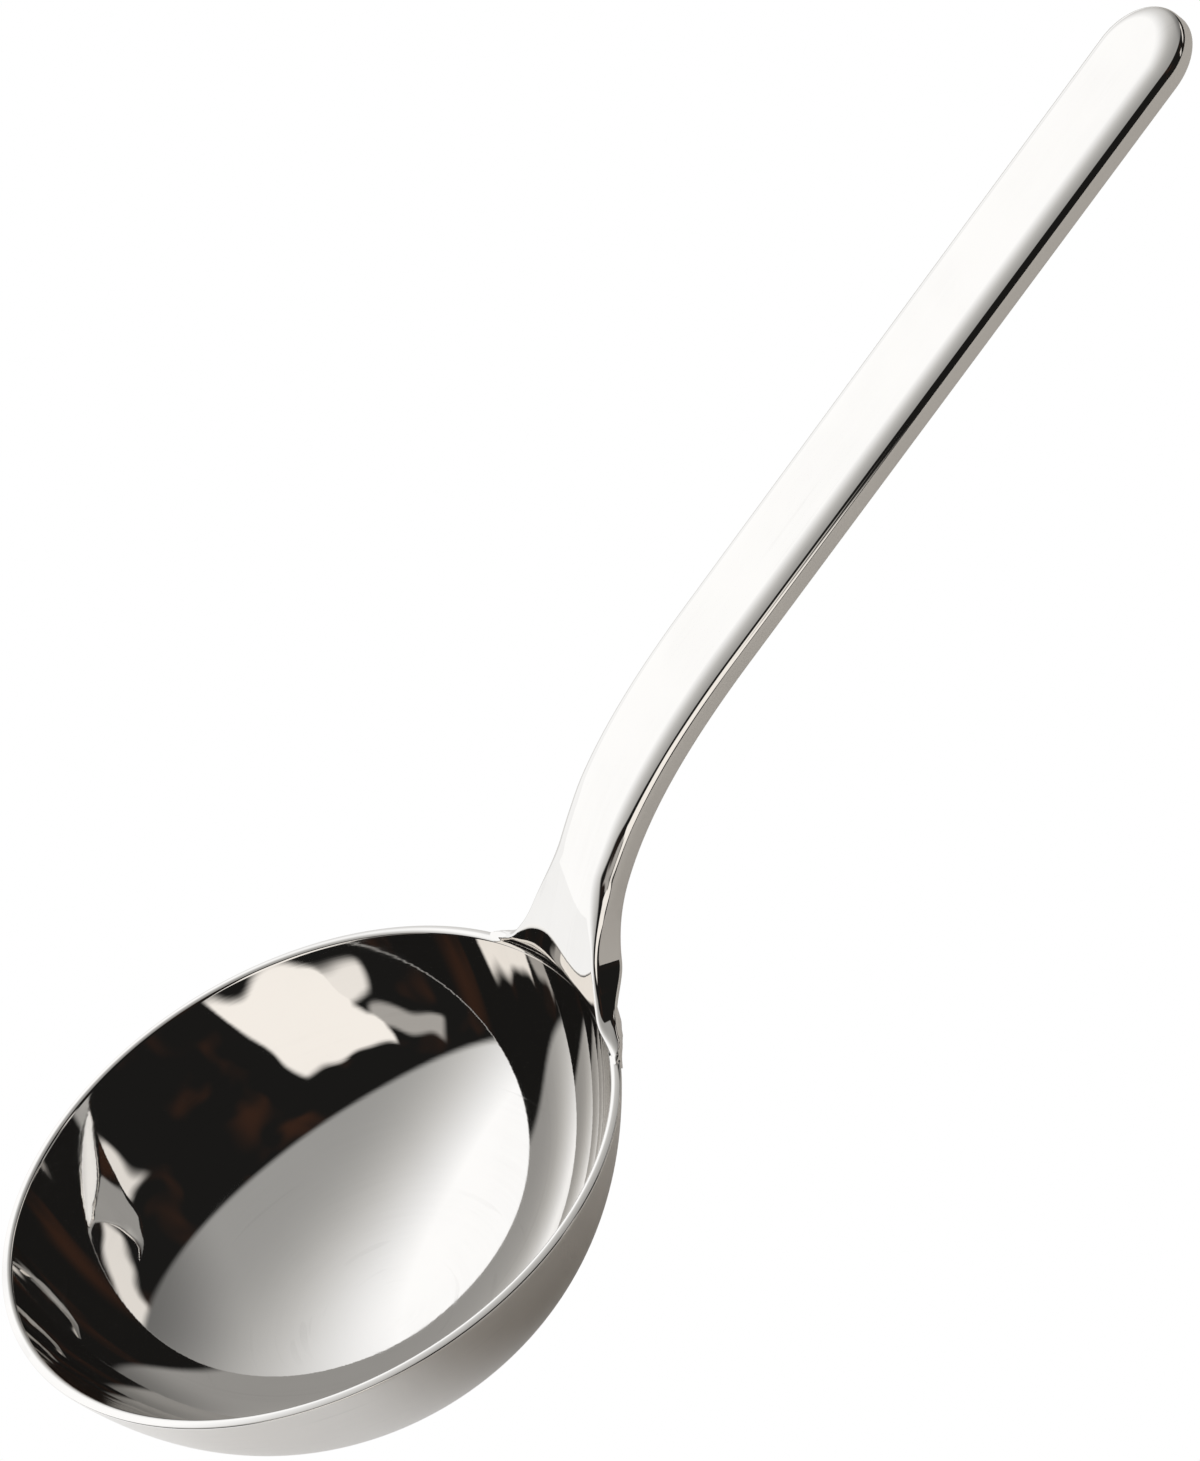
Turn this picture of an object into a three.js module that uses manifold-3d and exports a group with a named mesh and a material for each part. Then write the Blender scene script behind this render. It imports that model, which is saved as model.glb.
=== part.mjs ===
// Serving ladle: a drawn bowl, a bent bar handle and the two welds that join them, all polished steel.
// Millimetres. +Z up along the bowl's axis, +X towards the handle, origin under the middle of the bowl.
import * as THREE from 'three';
import { mergeVertices } from 'three/addons/utils/BufferGeometryUtils.js';
import Module from 'manifold-3d';

const { degToRad, lerp, smoothstep } = THREE.MathUtils;

// Sizes of the bowl
const RIM_DIAMETER = 90;
const BOWL_DEPTH = 30.2; // inside, below the top of the rim
const WALL = 1.5; // sheet that the bowl is drawn from
const WALL_LEAN = degToRad(18); // of the wall at the rim, from upright
const BOTTOM_PULL = 22.9; // how far the level of the bottom is carried into the curve
const WALL_PULL = 19; // how far the lean of the wall is carried into the curve

// Sizes of the handle
const GRIP_LENGTH = 101.6; // straight part, to the end of the tip
const GRIP_ANGLE = degToRad(24.8); // of the straight part, from level
const NECK_REACH = 37.87; // from the rim to the straight part, level
const NECK_RISE = 37.48; // from the rim to the straight part, upright
const COLLAR_HEIGHT = 4.2; // from the rim to the crest, where the neck starts to lean back
const COLLAR_LEAN = degToRad(-4); // of the collar, from upright: it leans over the bowl
const CREST_BEND = 1.5; // reach of the bend on each side of the crest
const NECK_LEAN = degToRad(33.5); // of the neck above the crest, from upright
const NECK_ROOT_PULL = 8.3; // how far that lean is carried into the neck
const NECK_GRIP_PULL = 31.6; // how far the angle of the grip is carried into the neck
const CURL_START = 12; // up to here the handle is curved across like the wall of the bowl
const CURL_END = 40; // from here on it is straight across
const NECK_WIDTH = 15;
const TIP_WIDTH = 16;
const HANDLE_THICKNESS = 4.2;
const TOP_FLAT = 7.2; // level strip along the middle of the top face
const TOP_CROWN = 0.6; // height of that strip above the long edges of the top face
const EDGE_RADIUS = 0.7;

// Sizes of the welds
const SEAM_HEIGHT = 2; // butt weld between the rim and the end of the handle
const FLARE_SPREAD = 11; // reach of the fillet along the rim, from each side of the handle
const FLARE_HEIGHT = 20.5; // reach of the fillet up each side of the handle
const FILLET_DROP = 6; // reach of the fillet down the outside of the bowl
const JOINT_GAP = 0.3; // kept between pieces that touch

// How finely the curves are cut
const BOWL_SIDES = 96;
const BOWL_STEPS = 15;
const RIM_STEPS = 6;
const COLLAR_STEPS = 8;
const NECK_STEPS = 26;
const TIP_STEPS = 12;
const ROLL_STEPS = 3;
const EDGE_STEPS = 3;
const FLARE_STEPS = 20;
const DROP_STEPS = 6;
const CROSS_STEPS = 20;

const wasm = await Module();
wasm.setup();

// Solids and cuts

function closed(geometry) {
  geometry.deleteAttribute('normal');
  geometry.deleteAttribute('uv');
  const merged = mergeVertices(geometry, 1e-4);
  const corners = Array.from(merged.index.array);
  const faces = [];
  for (let i = 0; i < corners.length; i += 3) {
    const [a, b, c] = corners.slice(i, i + 3);
    if (a !== b && b !== c && c !== a) faces.push(a, b, c);
  }
  merged.setIndex(faces);
  return merged;
}

function toSolid(geometry) {
  return new wasm.Manifold(new wasm.Mesh({
    numProp: 3,
    vertProperties: new Float32Array(geometry.attributes.position.array),
    triVerts: new Uint32Array(geometry.index.array),
  }));
}

function toGeometry(solid) {
  const mesh = solid.getMesh();
  const geometry = new THREE.BufferGeometry();
  geometry.setAttribute('position', new THREE.Float32BufferAttribute(mesh.vertProperties, 3));
  geometry.setIndex(Array.from(mesh.triVerts));
  return geometry;
}

// A solid through a row of loops. Each loop lists its top from left to right, then its underside back again.
// A last loop that is folded flat, as at the tip of the handle, needs no end face.
function loft(loops, foldedEnd = false) {
  const count = loops[0].length;
  const faces = [];
  for (let i = 0; i + 1 < loops.length; i += 1) {
    for (let k = 0; k < count; k += 1) {
      const here = i * count + k;
      const next = i * count + ((k + 1) % count);
      faces.push(here, next + count, next, here, here + count, next + count);
    }
  }
  const last = (loops.length - 1) * count;
  for (let k = 0; k + 1 < count / 2; k += 1) {
    const facing = count - 1 - k;
    const start = [k, k + 1, facing, k + 1, facing - 1, facing];
    faces.push(...start);
    if (!foldedEnd) faces.push(...start.reverse().map((corner) => last + corner));
  }
  const geometry = new THREE.BufferGeometry();
  const points = loops.flat().flatMap((point) => point.toArray());
  geometry.setAttribute('position', new THREE.Float32BufferAttribute(points, 3));
  geometry.setIndex(faces);
  return closed(geometry);
}

// The bowl: one curve from the middle of the bottom to the rim, turned about the axis

function leaning(angle) {
  return new THREE.Vector2(Math.sin(angle), Math.cos(angle));
}

const wallUp = leaning(WALL_LEAN);
const wallIn = new THREE.Vector2(-wallUp.y, wallUp.x);
const rimCentre = new THREE.Vector2((RIM_DIAMETER - WALL) / 2, BOWL_DEPTH + WALL / 2);
const wallEnd = rimCentre.clone().addScaledVector(wallIn, WALL / 2);
const inside = new THREE.CubicBezierCurve(
  new THREE.Vector2(0, WALL),
  new THREE.Vector2(BOTTOM_PULL, WALL),
  wallEnd.clone().addScaledVector(wallUp, -WALL_PULL),
  wallEnd,
);

// Points of the bowl's side, a given distance outwards from its inside, from the bottom up
function bowlSide(outwards) {
  const side = [];
  for (let i = 0; i <= BOWL_STEPS; i += 1) {
    const point = inside.getPoint(i / BOWL_STEPS);
    const along = inside.getTangent(i / BOWL_STEPS);
    side.push(point.add(new THREE.Vector2(along.y, -along.x).multiplyScalar(outwards)));
  }
  side[0].x = 0;
  return side;
}

// Points over the round top of the rim, from the outside to the inside
function rimTop(radius, turn) {
  const top = [];
  for (let i = 1; i < RIM_STEPS; i += 1) {
    const angle = -WALL_LEAN + (turn * i) / RIM_STEPS;
    top.push(new THREE.Vector2(Math.cos(angle), Math.sin(angle)).multiplyScalar(radius).add(rimCentre));
  }
  return top;
}

function turned(profile) {
  return closed(new THREE.LatheGeometry(profile, BOWL_SIDES).rotateX(Math.PI / 2));
}

const bowl = turned([...bowlSide(WALL), ...rimTop(WALL / 2, Math.PI), ...bowlSide(0).reverse()]);

// Everything that lies within the bowl's outside, with the joint gap around it
const bowlCutter = turned([
  ...bowlSide(WALL + JOINT_GAP),
  ...rimTop(WALL / 2 + JOINT_GAP, Math.PI / 2 + WALL_LEAN),
  new THREE.Vector2(rimCentre.x, rimCentre.y + WALL / 2 + JOINT_GAP),
  new THREE.Vector2(0, rimCentre.y + WALL / 2 + JOINT_GAP),
]);

// The line that the metal follows: up the inside of the bowl and the collar, over the crest, round the neck
// and then straight.
// On the handle it is level with the long edges of the top face. Distances along it count from the root,
// where the handle leaves the rim.

const root = wallEnd.clone().addScaledVector(wallUp, WALL / 2);
const gripWay = new THREE.Vector2(Math.cos(GRIP_ANGLE), Math.sin(GRIP_ANGLE));
const gripStart = root.clone().add(new THREE.Vector2(NECK_REACH, NECK_RISE));
const gripEnd = gripStart.clone().addScaledVector(gripWay, GRIP_LENGTH);
const crest = root.clone().addScaledVector(leaning(COLLAR_LEAN), COLLAR_HEIGHT);
const crestStart = crest.clone().addScaledVector(leaning(COLLAR_LEAN), -CREST_BEND);
const crestEnd = crest.clone().addScaledVector(leaning(NECK_LEAN), CREST_BEND);
const neck = new THREE.CubicBezierCurve(
  crestEnd,
  crestEnd.clone().addScaledVector(leaning(NECK_LEAN), NECK_ROOT_PULL),
  gripStart.clone().addScaledVector(gripWay, -NECK_GRIP_PULL),
  gripStart,
);
const line = new THREE.CurvePath();
line.add(inside);
line.add(new THREE.LineCurve(wallEnd, root));
line.add(new THREE.LineCurve(root, crestStart));
line.add(new THREE.QuadraticBezierCurve(crestStart, crest, crestEnd));
line.add(neck);
line.add(new THREE.LineCurve(gripStart, gripEnd));
const [, lineToRoot, , lineToNeck, lineToGrip, lineLength] = line.getCurveLengths();
const crestLength = lineToNeck - lineToRoot;
const neckLength = lineToGrip - lineToRoot;
const tipCentre = lineLength - lineToRoot - TIP_WIDTH / 2;

function lineAt(distance) {
  const share = (lineToRoot + distance) / lineLength;
  return [line.getPoint(share), line.getTangent(share)];
}

// A point in the handle's metal: distance along the line, sideways from it, and depth under it.
// At the rim the metal is curved like the bowl's wall, and it flattens on its way up the neck.
function place(distance, sideways, depth) {
  const [point, along] = lineAt(distance);
  const curl = 1 - smoothstep(distance, CURL_START, CURL_END);
  const turn = curl * Math.asin(sideways / point.x);
  const hollow = curl * (point.x - Math.sqrt(point.x ** 2 - sideways ** 2));
  const up = new THREE.Vector3(-along.y * Math.cos(turn), -along.y * Math.sin(turn), along.x);
  return new THREE.Vector3(point.x - hollow, sideways, point.y).addScaledVector(up, -depth);
}

// Half the handle's own width, and the width that the fillet adds on each side of it
function halfWidth(distance) {
  return lerp(NECK_WIDTH, TIP_WIDTH, Math.max(distance, 0) / tipCentre) / 2;
}

function flare(distance) {
  const share = 1 - THREE.MathUtils.clamp(distance / FLARE_HEIGHT, 0, 1);
  return FLARE_SPREAD * (1 - Math.sqrt(1 - share ** 2));
}

// The metal under the line, which thins to the bowl's sheet, lower down in the middle than at the sides
function thickness(distance, sideways) {
  const share = Math.min(Math.abs(sideways) / (halfWidth(distance) + flare(distance)), 1);
  const rise = distance + FILLET_DROP * (1 - share ** 2);
  return lerp(WALL, HANDLE_THICKNESS - TOP_CROWN, smoothstep(rise, 0, FLARE_HEIGHT));
}

// The handle: a crowned bar with a flat strip on top and rounded edges, drawn along the line

// Half a section, from the flat strip out to the side: the inset from the side, the height of the crown
// and the rounding of the edge, which the underside has too
function halfSection(half, crown) {
  const rollWidth = half - EDGE_RADIUS - TOP_FLAT / 2;
  const steps = [];
  for (let i = 0; i < ROLL_STEPS; i += 1) {
    const share = i / ROLL_STEPS;
    const height = crown * (1 - share ** 2);
    steps.push({ inset: EDGE_RADIUS + rollWidth * (1 - share), height, rounding: 0 });
  }
  for (let i = 0; i <= EDGE_STEPS; i += 1) {
    const angle = (i / EDGE_STEPS) * (Math.PI / 2);
    const rounding = EDGE_RADIUS * (1 - Math.cos(angle));
    steps.push({ inset: EDGE_RADIUS * (1 - Math.sin(angle)), height: 0, rounding });
  }
  return steps;
}

// A loop around the handle. Its sides face the way that heading gives: 0 is square to the line, and at the
// tip it turns to a quarter turn, where both sides meet.
function handleLoop(distance, half, heading, grow) {
  const crown = TOP_CROWN * smoothstep(distance, 0, FLARE_HEIGHT);
  const row = (side, underneath) => halfSection(half, crown).map(({ inset, height, rounding }) => {
    const reach = half - inset + grow;
    const along = distance + reach * Math.sin(heading);
    const sideways = side * reach * Math.cos(heading);
    const depth = underneath ? thickness(along, sideways) - rounding + grow : rounding - height - grow;
    return place(along, sideways, depth);
  });
  const middle = distance + (TOP_FLAT / 2 + grow) * Math.sin(heading);
  return [
    ...row(-1, false).reverse(),
    place(middle, 0, -crown - grow),
    ...row(1, false),
    ...row(1, true).reverse(),
    place(middle, 0, thickness(middle, 0) + grow),
    ...row(-1, true),
  ];
}

function handleLoops(from, to, steps, grow = 0) {
  const loops = [];
  for (let i = 0; i <= steps; i += 1) {
    const distance = lerp(from, to, i / steps);
    loops.push(handleLoop(distance, halfWidth(distance), 0, grow));
  }
  return loops;
}

function tipLoops() {
  const loops = [];
  for (let i = 0; i <= TIP_STEPS; i += 1) {
    loops.push(handleLoop(tipCentre, TIP_WIDTH / 2, (i / TIP_STEPS) * (Math.PI / 2), 0));
  }
  return loops;
}

const collarLoops = handleLoops(SEAM_HEIGHT, crestLength, COLLAR_STEPS).slice(0, -1);
const neckLoops = handleLoops(crestLength, neckLength, NECK_STEPS);
const handle = loft([...collarLoops, ...neckLoops, ...tipLoops()], true);

// The seam weld: a short length of the same section between the rim and the handle's end

const seamWeld = loft(handleLoops(JOINT_GAP, SEAM_HEIGHT - JOINT_GAP, 1));

// The fillet weld: a flared skirt around the handle's root, less the bowl and the handle

function filletLoop(distance) {
  const half = halfWidth(distance) + flare(distance);
  const top = [];
  const underside = [];
  for (let i = 0; i <= CROSS_STEPS; i += 1) {
    const sideways = half * (1 - (2 * i) / CROSS_STEPS);
    top.push(place(distance, -sideways, distance < 0 ? WALL / 2 : 0));
    underside.push(place(distance, sideways, thickness(distance, sideways)));
  }
  return [...top, ...underside];
}

const filletLoops = [];
for (let i = 0; i < DROP_STEPS; i += 1) {
  filletLoops.push(filletLoop(FILLET_DROP * (i / DROP_STEPS - 1)));
}
for (let i = 0; i <= FLARE_STEPS; i += 1) {
  filletLoops.push(filletLoop(FLARE_HEIGHT * (1 - Math.cos((i / FLARE_STEPS) * (Math.PI / 2)))));
}
const handleCutter = loft(handleLoops(-JOINT_GAP, FLARE_HEIGHT + EDGE_RADIUS, NECK_STEPS, JOINT_GAP));
const filletWeld = toGeometry(toSolid(loft(filletLoops))
  .subtract(toSolid(bowlCutter))
  .subtract(toSolid(handleCutter)));

// The assembled ladle

const ladle = new THREE.Group();

function addPiece(name, geometry, colour, roughness) {
  const material = new THREE.MeshStandardMaterial({ color: colour, roughness, metalness: 1 });
  const piece = new THREE.Mesh(geometry, material);
  piece.name = name;
  ladle.add(piece);
}

addPiece('bowl', bowl, 0xd6d3ce, 0.04);
addPiece('handle', handle, 0xd9d6d1, 0.04);
addPiece('seam_weld', seamWeld, 0xd2cec8, 0.06);
addPiece('fillet_weld', filletWeld, 0xd2cec8, 0.06);

export default ladle;
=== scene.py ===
import bmesh
import bpy
import numpy as np
from mathutils import Matrix, Vector, kdtree


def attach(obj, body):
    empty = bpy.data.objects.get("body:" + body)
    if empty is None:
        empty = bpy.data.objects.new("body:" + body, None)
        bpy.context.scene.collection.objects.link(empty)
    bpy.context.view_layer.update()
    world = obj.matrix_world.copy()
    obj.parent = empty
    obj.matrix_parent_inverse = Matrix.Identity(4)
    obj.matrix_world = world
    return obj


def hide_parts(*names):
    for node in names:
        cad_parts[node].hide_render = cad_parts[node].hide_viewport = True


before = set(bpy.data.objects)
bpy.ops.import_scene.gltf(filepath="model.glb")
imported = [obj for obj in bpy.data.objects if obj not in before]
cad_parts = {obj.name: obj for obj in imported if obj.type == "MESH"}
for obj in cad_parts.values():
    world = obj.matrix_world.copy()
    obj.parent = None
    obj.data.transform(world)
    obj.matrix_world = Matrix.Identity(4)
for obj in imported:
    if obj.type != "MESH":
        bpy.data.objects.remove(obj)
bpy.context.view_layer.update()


# Bowl
# A round dish drawn from one sheet of stainless steel 1.5 mm thick. The mouth is trimmed and its edge rounded
# over, and the dish is turned against polishing wheels until it is a mirror inside and out.

MM = 0.001
RIM_RADIUS = 45.0
BOWL_DEPTH = 30.2
WALL = 1.5
RIM_ROUND = WALL / 2
RIM_CORNER = 0.3
WALL_LEAN = np.radians(20.5)
BOTTOM_PULL = 23.9
WALL_PULL = 20.0
BOWL_SIDES = 288
BOWL_STEPS = 96
RIM_STEPS = 10
BOWL_STEEL = (0.90, 0.888, 0.872)
BOWL_GRAIN = (1400, 1.5, 1400)
POLISH = 0.012
LINE_DETAIL = 4.0
LINE_DEPTH = 0.0012 * MM
LINE_ROUGHNESS = 0.05
SCRATCH_SCALE = 0.6
SCRATCH_DETAIL = 1.0
SCRATCH_RANGE = (0.66, 0.70)
SCRATCH_ROUGHNESS = 0.03
SMEAR_SCALE = 70.0
SMEAR_DETAIL = 3.0
SMEAR_RANGE = (0.35, 0.75)
RIPPLE_SCALE = 45.0
RIPPLE_DEPTH = 0.05 * MM
DULLED = 0.9
DULL_SHARE = 0.5
MEETING = 0.0001 * MM


def bezier(corners, shares):
    """Points of a Bezier curve, and the ways it runs there, at shares from its start to its end."""
    points = [np.array(corner, float) for corner in corners]
    shares = shares[:, None]
    while len(points) > 2:
        points = [a + (b - a) * shares for a, b in zip(points, points[1:])]
    start, end = points
    way = (end - start) * np.ones_like(shares)
    return start + way * shares, way / np.linalg.norm(way, axis=1, keepdims=True)


def joined(grids):
    """One mesh from grids of points in millimetres, joined where their borders meet."""
    shape = bmesh.new()
    for grid in grids:
        corners = [[shape.verts.new(point * MM) for point in row] for row in grid]
        for low, high in zip(corners, corners[1:]):
            for a, b, c, d in zip(low, high, high[1:], low[1:]):
                shape.faces.new((a, b, c, d))
    bmesh.ops.remove_doubles(shape, verts=shape.verts, dist=MEETING)
    bmesh.ops.recalc_face_normals(shape, faces=shape.faces)
    return shape


def piece(name, node, grids, points, normals, material):
    """A smooth piece that takes a solid's place. Its shading follows the normals given at the points."""
    shape = joined(grids)
    mesh = bpy.data.meshes.new(name)
    shape.to_mesh(mesh)
    shape.free()
    mesh.polygons.foreach_set("use_smooth", [True] * len(mesh.polygons))
    tree = kdtree.KDTree(len(points))
    for number, point in enumerate(points):
        tree.insert(Vector(point * MM), number)
    tree.balance()
    nearest = [tree.find(corner.co)[1] for corner in mesh.vertices]
    mesh.normals_split_custom_set_from_vertices(normals[nearest].tolist())
    mesh.materials.append(material)
    shown = bpy.data.objects.new(name, mesh)
    bpy.context.scene.collection.objects.link(shown)
    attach(shown, "root")
    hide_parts(node)
    return shown


class Value:
    """An output of a shader node. Arithmetic on values adds Math nodes to their tree."""

    def __init__(self, tree, socket):
        self.tree = tree
        self.socket = socket

    @classmethod
    def node(cls, tree, kind, settings=None, sockets=None, output=0):
        """The output of a new node. Its settings are set first, and then its sockets' values or links."""
        made = tree.nodes.new(kind)
        for key, setting in (settings or {}).items():
            setattr(made, key, setting)
        for key, source in (sockets or {}).items():
            if isinstance(source, cls):
                tree.links.new(source.socket, made.inputs[key])
            else:
                made.inputs[key].default_value = source
        return cls(tree, made.outputs[output]) if made.outputs else None

    def __add__(self, other):
        return maths("ADD", self, other)

    def __mul__(self, other):
        return maths("MULTIPLY", self, other)

    def __sub__(self, other):
        return maths("SUBTRACT", self, other)

    def __rsub__(self, other):
        return maths("SUBTRACT", other, self)

    def __truediv__(self, other):
        return maths("DIVIDE", self, other)

    def __rtruediv__(self, other):
        return maths("DIVIDE", other, self)

    __radd__ = __add__
    __rmul__ = __mul__


def maths(operation, *terms):
    """The result of a Math node on terms of which at least one is a value."""
    tree = next(term.tree for term in terms if isinstance(term, Value))
    return Value.node(tree, "ShaderNodeMath", {"operation": operation}, dict(enumerate(terms)))


def along(vector, way):
    """How far a vector runs along a way."""
    return Value.node(vector.tree, "ShaderNodeVectorMath", {"operation": "DOT_PRODUCT"},
                      {0: vector, 1: tuple(way)}, "Value")


def rise_over(value, start, end):
    """Eases from 0 to 1 as a value goes from start to end."""
    return Value.node(value.tree, "ShaderNodeMapRange", {"interpolation_type": "SMOOTHSTEP"},
                      {"Value": value, "From Min": start, "From Max": end})


def noise(vector, scale, detail=0.0, output=0):
    """Cloudy values about 0.5, at a scale in cycles for each unit of the vector."""
    return Value.node(vector.tree, "ShaderNodeTexNoise", {},
                      {"Vector": vector, "Scale": scale, "Detail": detail}, output)


def steel(name, colour, grain, turned=False):
    """Polished stainless steel, with fine polishing lines, a few hair scratches, faint smears and ripples.

    The grain counts the lines in a metre along x, y and z. On a turned piece it counts them in a metre of the
    radius, in a radian round the axis and in a metre up it.
    """
    material = bpy.data.materials.new(name)
    material.use_nodes = True
    tree = material.node_tree
    tree.nodes.clear()
    place = Value.node(tree, "ShaderNodeTexCoord", output="Object")
    run = place
    if turned:
        x, y, height = (along(place, way) for way in np.eye(3))
        radius = maths("SQRT", x * x + y * y)
        angle = maths("ARCTAN2", y, x)
        run = Value.node(tree, "ShaderNodeCombineXYZ", {}, {0: radius, 1: angle, 2: height})
    run = Value.node(tree, "ShaderNodeMapping", {}, {"Vector": run, "Scale": grain})
    lines = noise(run, 1.0, LINE_DETAIL)
    smears = rise_over(noise(place, SMEAR_SCALE, SMEAR_DETAIL), *SMEAR_RANGE)
    smeared_lines = lines * smears
    scratches = rise_over(noise(run, SCRATCH_SCALE, SCRATCH_DETAIL), *SCRATCH_RANGE) * smears
    depth = RIPPLE_DEPTH * noise(place, RIPPLE_SCALE) + LINE_DEPTH * lines
    bump = Value.node(tree, "ShaderNodeBump", {}, {"Height": depth, "Distance": 1.0, "Strength": 1.0})
    dulled = tuple(DULLED * part for part in colour)
    dullness = DULL_SHARE * (smeared_lines + scratches)
    shade = Value.node(tree, "ShaderNodeMix", {"data_type": "RGBA"},
                       {"Factor": dullness, "A": (*colour, 1), "B": (*dulled, 1)}, output=2)
    roughness = POLISH + LINE_ROUGHNESS * smeared_lines + SCRATCH_ROUGHNESS * scratches
    surface = Value.node(tree, "ShaderNodeBsdfPrincipled", {},
                         {"Base Color": shade, "Metallic": 1.0, "Roughness": roughness, "Normal": bump})
    Value.node(tree, "ShaderNodeOutputMaterial", {}, {"Surface": surface})
    return material


def leaning(angle):
    """The way up in a side view, leaned outwards by an angle."""
    return np.array([np.sin(angle), np.cos(angle)])


wall_up = leaning(WALL_LEAN)
wall_in = np.array([-wall_up[1], wall_up[0]])
corner_step = (RIM_ROUND - RIM_CORNER) * (wall_up - wall_in)
rim_centre = np.array([RIM_RADIUS - RIM_CORNER - corner_step[0], BOWL_DEPTH + RIM_ROUND])
wall_end = rim_centre + RIM_ROUND * wall_in
dish_corners = [(0, WALL), (BOTTOM_PULL, WALL), wall_end - WALL_PULL * wall_up, wall_end]

inside, inside_way = bezier(dish_corners, np.linspace(0, 1, BOWL_STEPS + 1))
outward = np.stack([inside_way[:, 1], -inside_way[:, 0]], 1)
round_over = -WALL_LEAN + np.linspace(0, np.pi, 2 * RIM_STEPS + 1)[1:-1]
rim_way = np.stack([np.cos(round_over), np.sin(round_over)], 1)
rim_outer = rim_centre + corner_step + RIM_CORNER * rim_way[:RIM_STEPS]
rim_inner = rim_centre + RIM_ROUND * rim_way[RIM_STEPS:]
bowl_profile = np.concatenate([inside + WALL * outward, rim_outer, rim_inner, inside[::-1]])
bowl_facing = np.concatenate([outward, rim_way, -outward[::-1]])
turn = np.linspace(0, 2 * np.pi, BOWL_SIDES + 1)


def spin(profile):
    """A grid of points, or of directions, from a profile turned once round the upright axis."""
    return np.stack([np.outer(profile[:, 0], np.cos(turn)),
                     np.outer(profile[:, 0], np.sin(turn)),
                     np.outer(profile[:, 1], np.ones_like(turn))], -1)


bowl_grid = spin(bowl_profile)
bowl_steel = steel("polished_bowl_steel", BOWL_STEEL, BOWL_GRAIN, turned=True)
bowl = piece("bowl_visual", "bowl", [bowl_grid], bowl_grid.reshape(-1, 3),
             spin(bowl_facing).reshape(-1, 3), bowl_steel)


# Handle
# A flat bar of the same steel, 4.2 mm thick. Its top is level along the middle and rolls over into its sides.
# It stands upright on the bowl's rim, bends over at the neck and runs straight to a round tip.

GRIP_LENGTH = 101.6
GRIP_ANGLE = np.radians(24.8)
NECK_REACH = 37.87
NECK_RISE = 37.48
COLLAR_HEIGHT = 4.2
COLLAR_LEAN = np.radians(-16.0)
OVERRUN = 3 * COLLAR_HEIGHT
LEAST_REACH = 1.0
CREST_SOFT = 0.25
CREST_EASE = 0.4
NECK_LEAN = np.radians(33.5)
NECK_ROOT_PULL = 14.0
NECK_GRIP_PULL = 28.0
FACE_SWELL = 0.010
SWELL_HALF = 14.0
SWELL_TOP = 62.0
NUDGE = 0.01
NECK_WIDTH = 15.0
TIP_WIDTH = 16.0
HANDLE_THICKNESS = 4.2
TOP_CROWN = 0.34
CROWN_SLOPE = np.radians(14.0)
FLAT_HALF = 2.6
TOP_ROUND = 6.0
CORNER_ROUND = 1.6
CORNER_TURN = np.radians(33.0)
LOW_ROUND = 0.5
WING_HEIGHT = 9.0
WING_MARGIN = 0.6
ROOT_WIDEN = 3.0
CROWN_FULL = 30.0
FLARE_SPREAD = 11.0
FLARE_HEIGHT = 20.5
FILLET_DROP = 6.0
SEAM_HEIGHT = 2.0
LINE_STEPS = 400
NECK_ROWS = 60
GRIP_ROWS = 24
TIP_ROWS = 28
ROOT_ROWS = 54
HALF_COLUMNS = 16
WING_COLUMNS = 14
ROUND_COLUMNS = 14
SKIRT_ROWS = 16
SKIRT_SINK = 0.03
HANDLE_STEEL = (0.90, 0.888, 0.870)
HANDLE_GRAIN = (30, 1400, 30)

root = wall_end + RIM_ROUND * wall_up
crest = root + COLLAR_HEIGHT * leaning(COLLAR_LEAN)
grip_way = np.array([np.cos(GRIP_ANGLE), np.sin(GRIP_ANGLE)])
grip_start = root + (NECK_REACH, NECK_RISE)
grip_end = grip_start + GRIP_LENGTH * grip_way
neck_corners = [crest, crest + NECK_ROOT_PULL * leaning(NECK_LEAN),
                grip_start - NECK_GRIP_PULL * grip_way, grip_start]
neck_points = bezier(neck_corners, np.linspace(0, 1, LINE_STEPS))[0]
line_points = np.concatenate([inside, [root], neck_points, [grip_end]])
line_steps = np.linalg.norm(np.diff(line_points, axis=0), axis=1)
line_distance = np.concatenate([[0], np.cumsum(line_steps)])
line_distance -= line_distance[len(inside)]
tip_end = line_distance[-1]
tip_centre = tip_end - TIP_WIDTH / 2

# Two lines in a side view cross at the crest: the bowl's wall carried on up the collar, and the neck's face.
# Both run on past the crest.
collar_top = root + OVERRUN * leaning(COLLAR_LEAN)
wall_line = np.concatenate([inside, [root, collar_top]])
face_foot = crest - OVERRUN * leaning(NECK_LEAN)
face_line = np.concatenate([[face_foot], neck_points, [grip_end + TIP_WIDTH * grip_way]])


def smooth(amount, start, end):
    """Eases from 0 to 1 as the amount goes from start to end."""
    share = np.clip((amount - start) / (end - start), 0, 1)
    return share * share * (3 - 2 * share)


def top_skin(height, sideways, soft):
    """How far out the metal's top is: the outer one of the two lines, eased together at the crest.

    The wall is round like the rim. The foot of the neck swells a little and falls back at its wing tips.
    """
    wall = np.interp(height, wall_line[:, 1], wall_line[:, 0])
    wall = np.sqrt(np.maximum(wall ** 2 - sideways ** 2, LEAST_REACH ** 2))
    swell = FACE_SWELL * sideways ** 2 * (1 - (sideways / SWELL_HALF) ** 2)
    face = np.interp(height, face_line[:, 1], face_line[:, 0])
    face = face + swell * (1 - smooth(height, crest[1], SWELL_TOP))
    return (wall + face + np.hypot(wall - face, 2 * soft)) / 2


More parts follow.
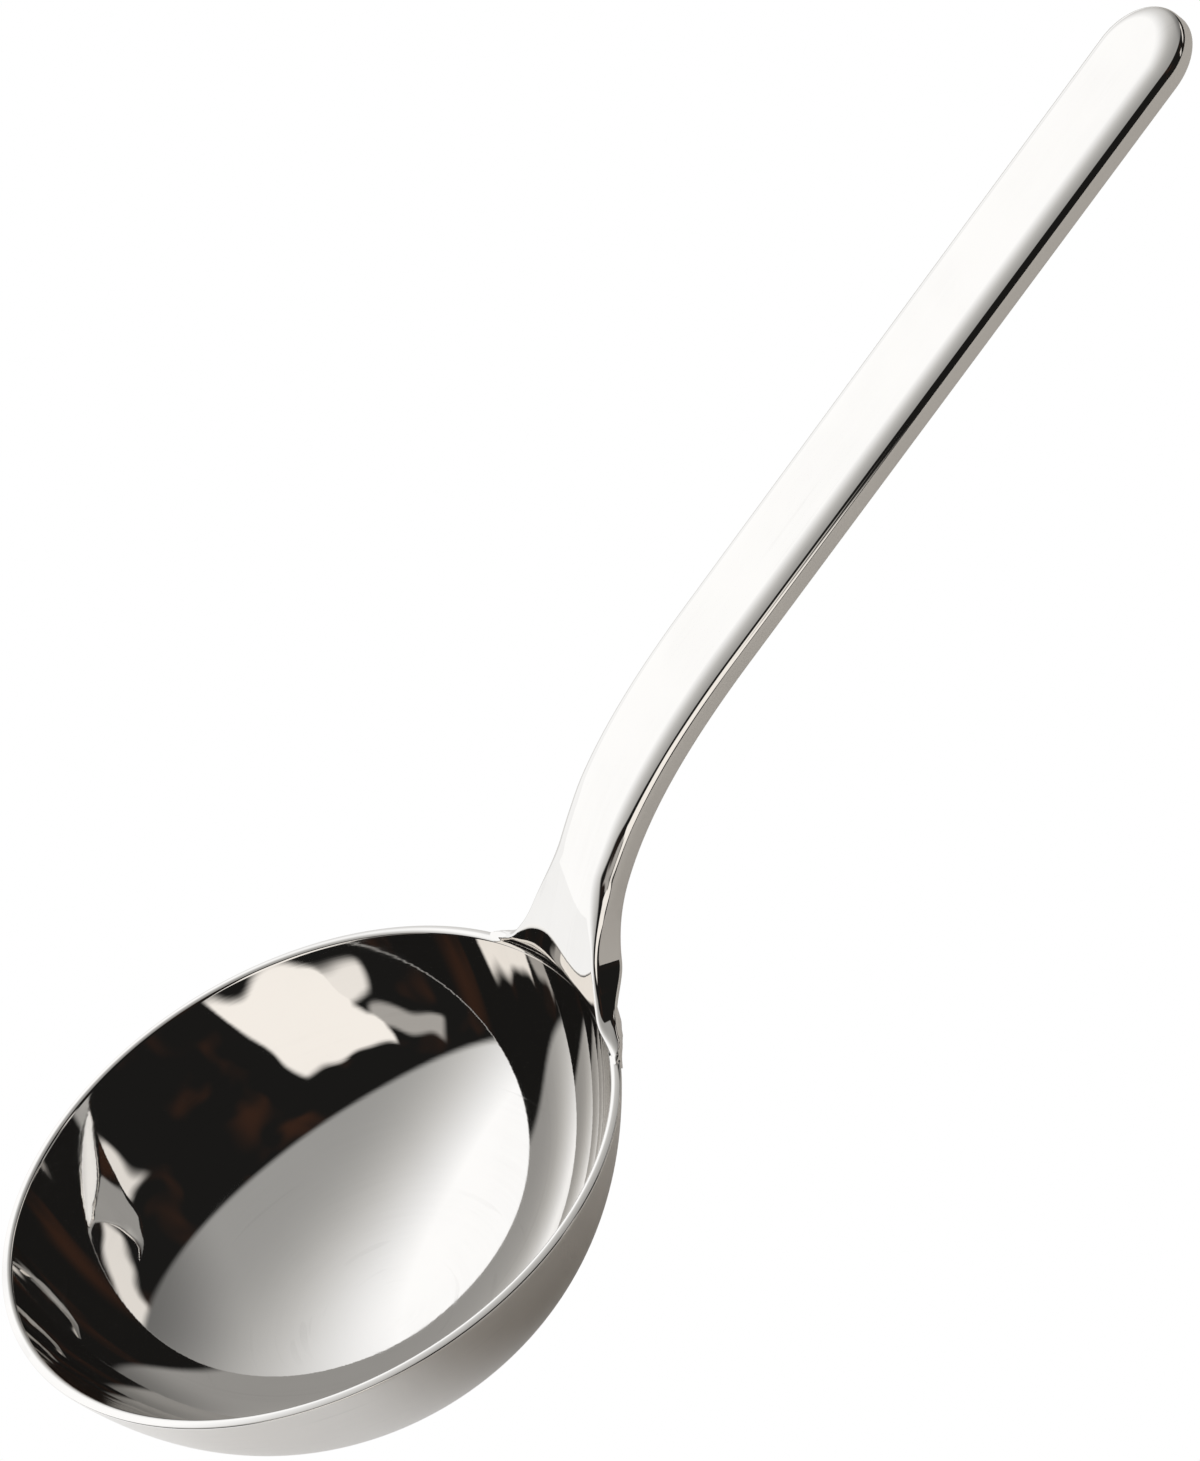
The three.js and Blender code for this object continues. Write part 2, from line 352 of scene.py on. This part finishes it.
def put(distance, sideways, depth):
    """A point of the handle or its root, from a distance up the line, sideways from it and under it."""
    distance, sideways, depth = np.broadcast_arrays(distance, sideways, depth)
    z = np.interp(distance, line_distance, line_points[:, 1])
    soft = CREST_SOFT + CREST_EASE * np.maximum(depth, 0)
    x = top_skin(z, sideways, soft)
    slope_up = (top_skin(z + NUDGE, sideways, soft) - top_skin(z - NUDGE, sideways, soft)) / (2 * NUDGE)
    slope_aside = (top_skin(z, sideways + NUDGE, soft) - top_skin(z, sideways - NUDGE, soft)) / (2 * NUDGE)
    length = np.sqrt(1 + slope_up ** 2 + slope_aside ** 2)
    share = depth / length
    return np.stack([x + share, sideways - share * slope_aside, z - share * slope_up], -1)


def half_width(distance):
    """Half the bar's width, which grows slowly from the neck to the tip."""
    share = np.clip(distance, 0, tip_centre) / tip_centre
    return (NECK_WIDTH + (TIP_WIDTH - NECK_WIDTH) * share) / 2


def flare(distance):
    """How far the root's wings stand out past the bar's sides."""
    share = 1 - np.clip(distance / FLARE_HEIGHT, 0, 1)
    return FLARE_SPREAD * (1 - np.sqrt(1 - share * share))


def thickness(distance, sideways):
    """Metal under the line: the sheet of the bowl, growing to the bar's thickness up the root."""
    across = np.minimum(np.abs(sideways) / (half_width(distance) + flare(distance)), 1)
    grown = smooth(distance + FILLET_DROP * (1 - across * across), 0, WING_HEIGHT)
    return WALL + (HANDLE_THICKNESS - TOP_CROWN - WALL) * grown


# The root's outline is a quarter of an ellipse, from the rim up to the bar's side.
sweep = np.linspace(0, np.pi / 2, ROOT_ROWS + 1)
root_distance = np.linspace(-RIM_ROUND, FLARE_HEIGHT, ROOT_ROWS + 1)
root_edge = np.stack([FLARE_HEIGHT * (1 - np.cos(sweep)),
                      half_width(FLARE_HEIGHT) + FLARE_SPREAD * (1 - np.sin(sweep))], 1)
root_facing = np.stack([FLARE_SPREAD * np.cos(sweep), FLARE_HEIGHT * np.sin(sweep)], 1)
root_facing /= np.linalg.norm(root_facing, axis=1, keepdims=True)

# Above it the bar's rows follow the neck and the grip, then fan out round the tip.
grip_distance = line_distance[-2]
neck_rows = np.linspace(FLARE_HEIGHT, grip_distance, NECK_ROWS + 1)[1:]
grip_rows = np.linspace(grip_distance, tip_centre, GRIP_ROWS + 1)[1:]
tip_heading = np.linspace(0, np.pi / 2, TIP_ROWS + 1)[1:]
bar_rows = np.concatenate([neck_rows, grip_rows, np.full(TIP_ROWS, tip_centre)])
bar_heading = np.concatenate([np.zeros(NECK_ROWS + GRIP_ROWS), tip_heading])
bar_facing = np.stack([np.sin(bar_heading), np.cos(bar_heading)], 1)
bar_edge = np.stack([bar_rows, np.zeros_like(bar_rows)], 1) + half_width(bar_rows)[:, None] * bar_facing

row_distance = np.concatenate([root_distance, bar_rows])[:, None]
row_heading = np.concatenate([np.zeros(ROOT_ROWS + 1), bar_heading])[:, None]
row_edge = np.concatenate([root_edge, bar_edge])[:, :, None]
row_facing = np.concatenate([root_facing, bar_facing])[:, :, None]
row_grown = smooth(row_edge[:, 0], 0, WING_HEIGHT)
row_full = smooth(row_edge[:, 0], WING_HEIGHT, FLARE_HEIGHT)
row_round = RIM_ROUND + (TOP_ROUND - RIM_ROUND) * row_full
row_corner = RIM_ROUND + (CORNER_ROUND - RIM_ROUND) * row_full
row_reach = row_round * np.sin(CORNER_TURN) + row_corner * (1 - np.sin(CORNER_TURN))
row_low_round = RIM_ROUND + (LOW_ROUND - RIM_ROUND) * row_grown

# Across the bar a level strip runs along the middle, and the top falls from it towards the rounded edges.
row_slope = CROWN_SLOPE * smooth(row_distance, FLARE_HEIGHT, CROWN_FULL)
row_half = half_width(row_distance) - row_reach[-1] - WING_MARGIN * (1 - row_full)
row_half += ROOT_WIDEN * (1 - smooth(row_distance, 0, WING_HEIGHT))
row_top_half = row_half + TOP_ROUND * np.sin(row_slope)
row_crown = np.tan(row_slope) * (row_top_half - FLAT_HALF) / 2
across = np.linspace(-1, 1, 2 * HALF_COLUMNS + 1)[None]
row_flat = FLAT_HALF / row_top_half
fall = np.clip((np.abs(across) - row_flat) / (1 - row_flat), 0, 1)


def bar_face(half, depth):
    """The bar's top or underside, over a half width at each row."""
    distance = row_distance + half * np.abs(across) * np.sin(row_heading)
    sideways = half * across * np.cos(row_heading)
    return put(distance, sideways, depth(distance, sideways))


def crowned(distance, sideways):
    """The top stands up by the crown along its middle strip and falls off to both sides."""
    return -row_crown * (1 - fall * fall)


bar_top = bar_face(row_top_half, crowned)
bar_under = bar_face(row_half, thickness)

# The rounded edges: over the top corner, down the side and round the lower corner.
roll = row_slope + (np.pi / 2 - row_slope) * np.linspace(0, 1, ROUND_COLUMNS + 1)[None]
wide_roll = np.minimum(roll, CORNER_TURN)
tight_roll = np.maximum(roll, CORNER_TURN)
top_inset = row_round * (np.sin(CORNER_TURN) - np.sin(wide_roll)) + row_corner * (1 - np.sin(tight_roll))
top_depth = (row_round * (np.cos(row_slope) - np.cos(wide_roll))
             + row_corner * (np.cos(CORNER_TURN) - np.cos(tight_roll)))
low_roll = np.linspace(np.pi / 2, 0, ROUND_COLUMNS)[None]
low_inset = np.concatenate([row_low_round * (1 - np.sin(low_roll)), row_reach], 1)
low_rise = np.concatenate([row_low_round * (1 - np.cos(low_roll)), np.zeros_like(row_reach)], 1)


def edge(side):
    """The rounded edge on one side, from the top face to the underside."""
    low_distance = row_edge[:, 0] - low_inset * row_facing[:, 0]
    low_sideways = row_edge[:, 1] - low_inset * row_facing[:, 1]
    low_depth = thickness(low_distance, low_sideways) - low_rise
    distance = np.concatenate([row_edge[:, 0] - top_inset * row_facing[:, 0], low_distance], 1)
    sideways = np.concatenate([row_edge[:, 1] - top_inset * row_facing[:, 1], low_sideways], 1)
    return put(distance, side * sideways, np.concatenate([top_depth, low_depth], 1))


def wing(side, depth):
    """One side of the flared root between the bar and its rounded edge, on the top or the underside."""
    share = np.linspace(0, 1, WING_COLUMNS + 1)[None]
    rows = slice(0, ROOT_ROWS + 1)
    end_distance = row_edge[rows, 0] - row_reach[rows] * row_facing[rows, 0]
    end_sideways = row_edge[rows, 1] - row_reach[rows] * row_facing[rows, 1]
    distance = row_distance[rows] + share * (end_distance - row_distance[rows])
    sideways = row_half[rows] + share * (end_sideways - row_half[rows])
    return put(distance, side * sideways, depth(distance, sideways))


def flat(distance, sideways):
    """The wings' tops lie on the skin itself."""
    return np.zeros_like(distance)


def between(first, second):
    """A band of faces that closes a cut between two lines of points."""
    return np.stack([first, second])


edges = {side: edge(side) for side in (-1, 1)}
wing_tops = {side: wing(side, flat) for side in (-1, 1)}
wing_unders = {side: wing(side, thickness) for side in (-1, 1)}
last = ROOT_ROWS
seam_row = int(np.argmin(np.abs(root_distance - SEAM_HEIGHT)))


def cap(line):
    """Faces that close the end of a rounded edge."""
    half = len(line) // 2
    return between(line[:half], line[::-1][:half])


# The skirt under the rim spreads the weld onto the bowl's outside and thins out to nothing.
wing_sideways = np.linspace(row_half[0, 0], root_edge[0, 1], WING_COLUMNS + 1)
skirt_sideways = np.concatenate([-wing_sideways[::-1], (row_half[0] * across[0])[1:-1], wing_sideways])
skirt_share = np.linspace(0, 1, SKIRT_ROWS + 1)[:, None]
skirt_full = 1 - (skirt_sideways / root_edge[0, 1]) ** 2
skirt_distance = -RIM_ROUND - skirt_share * np.maximum(FILLET_DROP * skirt_full - RIM_ROUND, 0)
skirt_outer = put(skirt_distance, skirt_sideways, thickness(skirt_distance, skirt_sideways))
skirt_inner = put(skirt_distance, skirt_sideways, WALL - SKIRT_SINK * skirt_full)

# All the outer faces are joined once, so that the pieces' shading runs on from one to the next.
skin_grids = [bar_top, bar_under, skirt_outer, *edges.values(), *wing_tops.values(), *wing_unders.values()]
skin = joined(skin_grids)
skin.normal_update()
skin_points = np.array([corner.co / MM for corner in skin.verts])
skin_normals = np.array([corner.normal for corner in skin.verts])
skin.free()

handle_grids = [bar_top[seam_row:], bar_under[seam_row:], between(bar_top[seam_row], bar_under[seam_row])]
for side, column in ((-1, 0), (1, -1)):
    handle_grids.append(edges[side][last:])
    handle_grids.append(cap(edges[side][last]))
    handle_grids.append(between(bar_top[seam_row:last + 1, column], bar_under[seam_row:last + 1, column]))
handle_steel = steel("polished_handle_steel", HANDLE_STEEL, HANDLE_GRAIN)
handle = piece("handle_visual", "handle", handle_grids, skin_points, skin_normals, handle_steel)


# Seam weld
# A butt weld between the bowl's rim and the handle's end, about 3 mm thick. It is ground flush and polished
# with the rest.

WELD_STEEL = (0.89, 0.878, 0.86)
WELD_GRAIN = (250, 900, 250)

seam_grids = [bar_top[:seam_row + 1], bar_under[:seam_row + 1],
              between(bar_top[0], bar_under[0]), between(bar_top[seam_row], bar_under[seam_row])]
for column in (0, -1):
    seam_grids.append(between(bar_top[:seam_row + 1, column], bar_under[:seam_row + 1, column]))
weld_steel = steel("polished_weld_steel", WELD_STEEL, WELD_GRAIN)
seam = piece("seam_weld_visual", "seam_weld", seam_grids, skin_points, skin_normals, weld_steel)


# Fillet weld
# Weld metal that flares from the handle's sides and underside onto the bowl. It is ground to a hollow curve
# on both sides and polished, so that no bead shows.

fillet_grids = [skirt_outer, skirt_inner, between(skirt_outer[-1], skirt_inner[-1])]
middle = slice(WING_COLUMNS, len(skirt_sideways) - WING_COLUMNS)
fillet_grids.append(between(skirt_outer[0, middle], skirt_inner[0, middle]))
for side in (-1, 1):
    inner_line = skirt_inner[0, ::side][-WING_COLUMNS - 1:]
    fillet_grids += [wing_tops[side], wing_unders[side], edges[side][:last + 1]]
    fillet_grids += [cap(edges[side][0]), cap(edges[side][last])]
    fillet_grids.append(between(wing_tops[side][0], inner_line))
    cut_depth = (WALL - SKIRT_SINK * skirt_full[WING_COLUMNS]) * (1 - sweep / sweep[-1])
    cut_middle = put(root_distance, side * row_half[:last + 1, 0], cut_depth)
    fillet_grids.append(np.stack([wing_tops[side][:, 0], cut_middle, wing_unders[side][:, 0]]))
fillet = piece("fillet_weld_visual", "fillet_weld", fillet_grids, skin_points, skin_normals, weld_steel)


# Studio
# A plain pale table under a wide white canopy that is open towards the camera. Past the canopy's edge the
# room is dark, with a few soft panels and faint brown patches. The camera itself sees white all round.

FLOOR_HALF = 2000 * MM
FLOOR_COLOUR = (0.88, 0.84, 0.79)
BACK_WAY = (-0.8, 0.6, 0)
BACK_FADES = (
    # where a fade to white starts and ends along the way back, and its share of the white
    (-36 * MM, -3 * MM, 0.42),
    (10 * MM, 90 * MM, 0.58),
)
CANOPY_TURN, CANOPY_RISE, CANOPY_EDGE = np.radians((187.0, 53.2, 22.9))
CANOPY_SOFT = np.radians(1.5)
GLOW_TURN, GLOW_RISE = np.radians((-152.5, 23.3))
GLOW_BASE = 0.34
GLOW_FADE = 0.6
GLOW_FADE_RANGE = (0.5, 0.95)
GLOW_CORE = 1.28
GLOW_POWER = 3.2
GLOW_MOST = 1.1
CANOPY_WARM = (1.0, 0.985, 0.955)
CANOPY_WARM_RANGE = (0.4, 1.0)
ROOM_COLOUR = (0.0108, 0.0104, 0.0098)
PANEL_COLOUR = (1.0, 0.95, 0.89)
PANELS = (
    # turn, rise, half width and half height in degrees, slant, strength
    (-33.5, 19.0, 19.5, 15.5, 0.75, 1.0),
    (-47.0, 7.5, 8.0, 4.0, 0.0, 0.9),
    (-69.0, 19.5, 14.0, 4.5, 0.0, 0.4),
    (100.0, 18.0, 25.0, 4.0, 0.0, 0.8),
    (55.0, 15.0, 4.0, 8.0, 0.0, 0.8),
)
PANEL_SOFT = 0.03
PANEL_FRONT = 0.1
WAVE_SCALE = 2.6
WAVE_DETAIL = 1.0
WAVE_DEPTH = 0.30
PATCH_COLOUR = (0.040, 0.019, 0.012)
PATCH_SCALE = 2.4
PATCH_DETAIL = 2.0
PATCH_RANGE = (0.56, 0.76)
MIRROR_BOUNCES = 24


def towards(turn, rise):
    """The direction at a turn round the table, counted from the camera's side, and a rise above it."""
    return (np.sin(turn) * np.cos(rise), -np.cos(turn) * np.cos(rise), np.sin(rise))


world = bpy.data.worlds.new("studio")
world.use_nodes = True
bpy.context.scene.world = world
tree = world.node_tree
tree.nodes.clear()
direction = Value.node(tree, "ShaderNodeTexCoord", output="Generated")
camera_sees = Value.node(tree, "ShaderNodeLightPath", output="Is Camera Ray")


def mixed(factor, first, second):
    """A colour between two colours, or past the second where the factor is over 1."""
    return Value.node(factor.tree, "ShaderNodeMix", {"data_type": "RGBA", "clamp_factor": False},
                      {"Factor": factor, "A": first, "B": second}, output=2)


under_canopy = rise_over(along(direction, towards(CANOPY_TURN, CANOPY_RISE)),
                         np.sin(CANOPY_EDGE - CANOPY_SOFT), np.sin(CANOPY_EDGE + CANOPY_SOFT))

# The canopy glows evenly, less towards the right, and more round one bright core.
core = maths("MAXIMUM", along(direction, towards(GLOW_TURN, GLOW_RISE)), 0.0)
core = maths("POWER", core, GLOW_POWER)
faded = 1 - GLOW_FADE * rise_over(along(direction, (1, 0, 0)), *GLOW_FADE_RANGE)
glow = maths("MINIMUM", GLOW_BASE * faded + GLOW_CORE * core, GLOW_MOST) * under_canopy

# The panels and patches have wavy edges, because their directions are shifted by noise.
waves = noise(direction, WAVE_SCALE, WAVE_DETAIL, "Color")
waves = Value.node(tree, "ShaderNodeVectorMath", {"operation": "SUBTRACT"}, {0: waves, 1: (0.5, 0.5, 0.5)})
wavy = Value.node(tree, "ShaderNodeVectorMath", {"operation": "MULTIPLY_ADD"},
                  {0: waves, 1: (WAVE_DEPTH, WAVE_DEPTH, WAVE_DEPTH), 2: direction})
panel_light = 0.0
for turn_degrees, rise_degrees, half_wide, half_high, slant, strength in PANELS:
    turn_angle, rise_angle = np.radians((turn_degrees, rise_degrees))
    centre = along(wavy, towards(turn_angle, rise_angle))
    above = along(wavy, towards(turn_angle, rise_angle + np.pi / 2)) / centre
    aside = along(wavy, towards(turn_angle + np.pi / 2, 0)) / centre + slant * above
    wide, high = np.tan(np.radians((half_wide, half_high)))
    inside_width = rise_over(maths("ABSOLUTE", aside), wide + PANEL_SOFT, wide - PANEL_SOFT)
    inside_height = rise_over(maths("ABSOLUTE", above), high + PANEL_SOFT, high - PANEL_SOFT)
    in_front = rise_over(centre, 0.0, PANEL_FRONT)
    panel_light = panel_light + strength * inside_width * inside_height * in_front
panel_light = maths("MINIMUM", panel_light, 1.0) * (1 - under_canopy)
patches = rise_over(noise(wavy, PATCH_SCALE, PATCH_DETAIL), *PATCH_RANGE) * (1 - under_canopy)
dark = mixed(patches, (*ROOM_COLOUR, 1), (*PATCH_COLOUR, 1))
room = mixed(panel_light, dark, (*PANEL_COLOUR, 1))
canopy = mixed(rise_over(glow, *CANOPY_WARM_RANGE), (*CANOPY_WARM, 1), (1, 1, 1, 1))
lit = Value.node(tree, "ShaderNodeBackground", {}, {"Color": mixed(glow, room, canopy)})
white = Value.node(tree, "ShaderNodeBackground", {}, {"Color": (1, 1, 1, 1)})
shown_world = Value.node(tree, "ShaderNodeMixShader", {}, {"Fac": camera_sees, 1: lit, 2: white})
Value.node(tree, "ShaderNodeOutputWorld", {}, {"Surface": shown_world})

# The table is white to the camera, and towards the back also to the steel. Nearer the camera its matt paint
# shows in the steel, with the ladle's shadow on it.
floor_mesh = bpy.data.meshes.new("floor")
floor_mesh.from_pydata([(-FLOOR_HALF, -FLOOR_HALF, 0), (FLOOR_HALF, -FLOOR_HALF, 0),
                        (FLOOR_HALF, FLOOR_HALF, 0), (-FLOOR_HALF, FLOOR_HALF, 0)], [], [(0, 1, 2, 3)])
floor_paint = bpy.data.materials.new("floor_paint")
floor_paint.use_nodes = True
tree = floor_paint.node_tree
tree.nodes.clear()
path = {name: Value.node(tree, "ShaderNodeLightPath", output=f"Is {name} Ray")
        for name in ("Camera", "Glossy", "Transmission")}
place = Value.node(tree, "ShaderNodeTexCoord", output="Object")
back = along(place, BACK_WAY)
behind = sum(share * rise_over(back, start, end) for start, end, share in BACK_FADES)
mirrored = maths("MAXIMUM", path["Glossy"], path["Transmission"]) * behind
white_share = maths("MAXIMUM", mirrored, path["Camera"])
matt = Value.node(tree, "ShaderNodeBsdfDiffuse", {}, {"Color": (*FLOOR_COLOUR, 1)})
white = Value.node(tree, "ShaderNodeEmission", {}, {"Color": (1, 1, 1, 1), "Strength": 1.0})
shown_floor = Value.node(tree, "ShaderNodeMixShader", {}, {"Fac": white_share, 1: matt, 2: white})
Value.node(tree, "ShaderNodeOutputMaterial", {}, {"Surface": shown_floor})
floor_mesh.materials.append(floor_paint)
floor = bpy.data.objects.new("floor", floor_mesh)
bpy.context.scene.collection.objects.link(floor)
bpy.context.scene.view_settings.view_transform = "Standard"

# Near its rim the bowl mirrors itself many times over, so light may bounce more often than usual.
bpy.context.scene.cycles.max_bounces = MIRROR_BOUNCES
bpy.context.scene.cycles.glossy_bounces = MIRROR_BOUNCES


# Camera
# It looks down on the ladle from the side, and is rolled so that the handle runs to the picture's corner.

CAMERA_AT = Vector((-63.233, -573.138, 507.227)) * MM
CAMERA_AIM = Vector((64.363, 7.288, 59.261)) * MM
CAMERA_ROLL = np.radians(26.584)
CAMERA_FIELD = np.radians(15.0)

lens = bpy.data.cameras.new("camera")
lens.angle = CAMERA_FIELD
camera = bpy.data.objects.new("camera", lens)
level = (CAMERA_AIM - CAMERA_AT).to_track_quat("-Z", "Y").to_matrix()
rolled = level @ Matrix.Rotation(-CAMERA_ROLL, 3, "Z")
camera.matrix_world = Matrix.Translation(CAMERA_AT) @ rolled.to_4x4()
bpy.context.scene.collection.objects.link(camera)
bpy.context.scene.camera = camera
